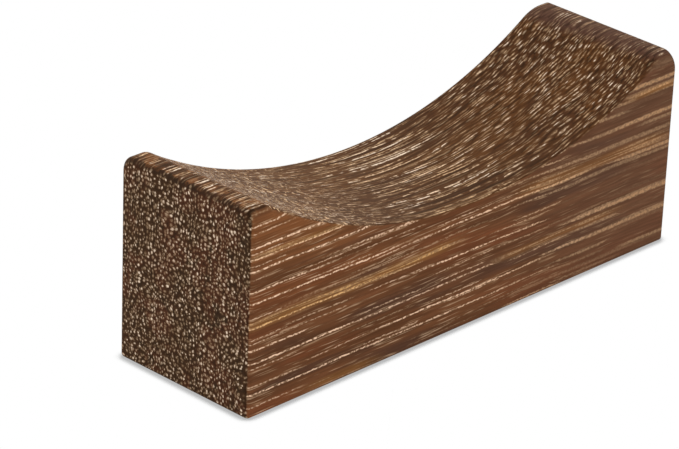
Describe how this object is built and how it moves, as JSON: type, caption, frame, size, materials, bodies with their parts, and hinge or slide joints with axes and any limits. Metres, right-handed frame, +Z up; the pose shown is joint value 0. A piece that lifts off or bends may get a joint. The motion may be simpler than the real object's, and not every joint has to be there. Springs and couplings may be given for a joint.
{
  "type": "chopstick rest",
  "caption": "Low rectangular hardwood block with a wide round saddle cut across its top, in which chopsticks lie between flat-topped horns.",
  "frame": {"origin": "centre of the underside, where the block stands on the table", "axes": "+X along the block's length and its grain, +Y across it, along the chopsticks that lie in the saddle, +Z up"},
  "size_m": [0.045, 0.0152, 0.0168],
  "materials": {
    "oiled_hardwood": "dark coarse grained hardwood, sanded and oiled to a soft satin sheen, grain along the block"
  },
  "bodies": {
    "root": {"rest_block": "oiled_hardwood"}
  },
  "joints": []
}
